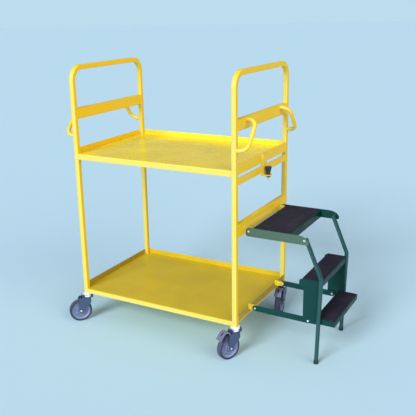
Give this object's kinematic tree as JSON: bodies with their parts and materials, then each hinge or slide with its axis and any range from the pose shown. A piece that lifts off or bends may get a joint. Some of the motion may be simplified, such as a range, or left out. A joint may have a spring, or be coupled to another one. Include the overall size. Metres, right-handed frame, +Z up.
{
  "type": "two-shelf order-picking trolley with fold-up steps",
  "caption": "Two-shelf tubular order-picking trolley on swivel casters, with push loops, D-handles and a fold-up step set with rubber mats on one end.",
  "frame": {"origin": "on the floor, under the middle of the whole object", "axes": "+Z up; +X along the trolley towards its steps; +Y across it towards the rear side"},
  "size_m": [1.4905, 0.7524, 1.415],
  "materials": {
    "yellow_powder_coat": "semi-gloss yellow powder coat",
    "green_enamel": "semi-gloss dark green enamel",
    "black_rubber": "matt ribbed rubber",
    "zinc_plate": "bright zinc plate",
    "fork_steel": "blue-grey painted steel",
    "wheel_centre": "blue-grey moulded plastic",
    "grey_tyre_rubber": "dark blue-grey tread rubber",
    "pedal_steel": "pale lilac-grey painted steel",
    "black_plastic": "black moulded plastic"
  },
  "bodies": {
    "frame": {"left_end_frame": "yellow_powder_coat", "right_end_frame": "yellow_powder_coat", "left_upper_rail": "yellow_powder_coat", "right_upper_rail": "yellow_powder_coat", "left_front_handle": "yellow_powder_coat", "left_rear_handle": "yellow_powder_coat", "right_front_handle": "yellow_powder_coat", "right_rear_handle": "yellow_powder_coat", "upper_shelf": "yellow_powder_coat", "lower_shelf": "yellow_powder_coat", "latch_rail": "yellow_powder_coat", "platform_rail": "yellow_powder_coat", "lower_front_lug": "yellow_powder_coat", "lower_rear_lug": "yellow_powder_coat", "latch_bracket": "yellow_powder_coat", "latch_barrel": "black_plastic", "platform_front_bolt": "zinc_plate", "platform_rear_bolt": "zinc_plate", "link_front_bolt": "zinc_plate", "link_rear_bolt": "zinc_plate", "left_front_caster_head": "zinc_plate", "left_rear_caster_head": "zinc_plate", "right_front_caster_head": "zinc_plate", "right_rear_caster_head": "zinc_plate"},
    "platform": {"platform_tread": "green_enamel", "platform_mat": "black_rubber", "platform_front_side": "green_enamel", "platform_rear_side": "green_enamel", "tube_front_bolt": "zinc_plate", "tube_rear_bolt": "zinc_plate"},
    "step_frame": {"step_front_tube": "green_enamel", "step_rear_tube": "green_enamel", "step_front_side": "green_enamel", "step_rear_side": "green_enamel", "middle_tread": "green_enamel", "middle_mat": "black_rubber", "lower_tread": "green_enamel", "lower_mat": "black_rubber", "front_foot": "black_rubber", "rear_foot": "black_rubber", "step_front_bolt": "zinc_plate", "step_rear_bolt": "zinc_plate"},
    "lower_links": {"lower_front_link": "green_enamel", "lower_rear_link": "green_enamel"},
    "latch_plunger": {"latch_pin": "zinc_plate", "latch_knob": "black_plastic"},
    "left_front_fork": {"left_front_caster_fork": "fork_steel"},
    "left_front_wheel": {"left_front_caster_wheel": "wheel_centre", "left_front_caster_tyre": "grey_tyre_rubber"},
    "left_rear_fork": {"left_rear_caster_fork": "fork_steel"},
    "left_rear_wheel": {"left_rear_caster_wheel": "wheel_centre", "left_rear_caster_tyre": "grey_tyre_rubber"},
    "right_front_fork": {"right_front_caster_fork": "fork_steel"},
    "right_front_wheel": {"right_front_caster_wheel": "wheel_centre", "right_front_caster_tyre": "grey_tyre_rubber"},
    "right_rear_fork": {"right_rear_caster_fork": "fork_steel"},
    "right_rear_wheel": {"right_rear_caster_wheel": "wheel_centre", "right_rear_caster_tyre": "grey_tyre_rubber"},
    "right_front_pedal": {"right_front_brake_pedal": "pedal_steel"},
    "right_rear_pedal": {"right_rear_brake_pedal": "pedal_steel"}
  },
  "joints": [
    {"name": "platform_fold", "type": "hinge", "parent": "frame", "child": "platform", "pos_m": [0.3065, 0.0386, 0.64], "axis": [0, -1, 0], "range_deg": [0, 85]},
    {"name": "step_level", "type": "hinge", "parent": "platform", "child": "step_frame", "pos_m": [0.5925, 0.0386, 0.636], "axis": [0, -1, 0], "range_deg": [-85, 0]},
    {"name": "link_fold", "type": "hinge", "parent": "frame", "child": "lower_links", "pos_m": [0.3235, 0.0386, 0.217], "axis": [0, -1, 0], "range_deg": [0, 85]},
    {"name": "latch_slide", "type": "slide", "parent": "frame", "child": "latch_plunger", "axis": [0, 0, -1], "range_m": [0, 0.011]},
    {"name": "left_front_swivel", "type": "hinge", "parent": "frame", "child": "left_front_fork", "pos_m": [-0.652, -0.2689, 0.1525], "axis": [0, 0, 1], "continuous": true},
    {"name": "left_front_spin", "type": "hinge", "parent": "left_front_fork", "child": "left_front_wheel", "pos_m": [-0.68152, -0.30286, 0.0625], "axis": [0.7547, -0.6561, 0], "continuous": true},
    {"name": "left_rear_swivel", "type": "hinge", "parent": "frame", "child": "left_rear_fork", "pos_m": [-0.652, 0.3461, 0.1525], "axis": [0, 0, 1], "continuous": true},
    {"name": "left_rear_spin", "type": "hinge", "parent": "left_rear_fork", "child": "left_rear_wheel", "pos_m": [-0.68886, 0.32029, 0.0625], "axis": [0.5736, -0.8192, 0], "continuous": true},
    {"name": "right_front_swivel", "type": "hinge", "parent": "frame", "child": "right_front_fork", "pos_m": [0.273, -0.2689, 0.1525], "axis": [0, 0, 1], "continuous": true},
    {"name": "right_front_spin", "type": "hinge", "parent": "right_front_fork", "child": "right_front_wheel", "pos_m": [0.2547, -0.31001, 0.0625], "axis": [0.9135, -0.4067, 0], "continuous": true},
    {"name": "right_front_brake", "type": "hinge", "parent": "right_front_fork", "child": "right_front_pedal", "pos_m": [0.25673, -0.30544, 0.1315], "axis": [0.9135, -0.4067, 0], "range_deg": [0, 12]},
    {"name": "right_rear_swivel", "type": "hinge", "parent": "frame", "child": "right_rear_fork", "pos_m": [0.273, 0.3461, 0.1525], "axis": [0, 0, 1], "continuous": true},
    {"name": "right_rear_spin", "type": "hinge", "parent": "right_rear_fork", "child": "right_rear_wheel", "pos_m": [0.27887, 0.30149, 0.0625], "axis": [0.9914, 0.1305, 0], "continuous": true},
    {"name": "right_rear_brake", "type": "hinge", "parent": "right_rear_fork", "child": "right_rear_pedal", "pos_m": [0.27822, 0.30644, 0.1315], "axis": [0.9914, 0.1305, 0], "range_deg": [0, 12]}
  ],
  "couplings": [
    {"joint": "step_level", "follows": "platform_fold", "ratio": -1},
    {"joint": "link_fold", "follows": "platform_fold", "ratio": 1}
  ]
}
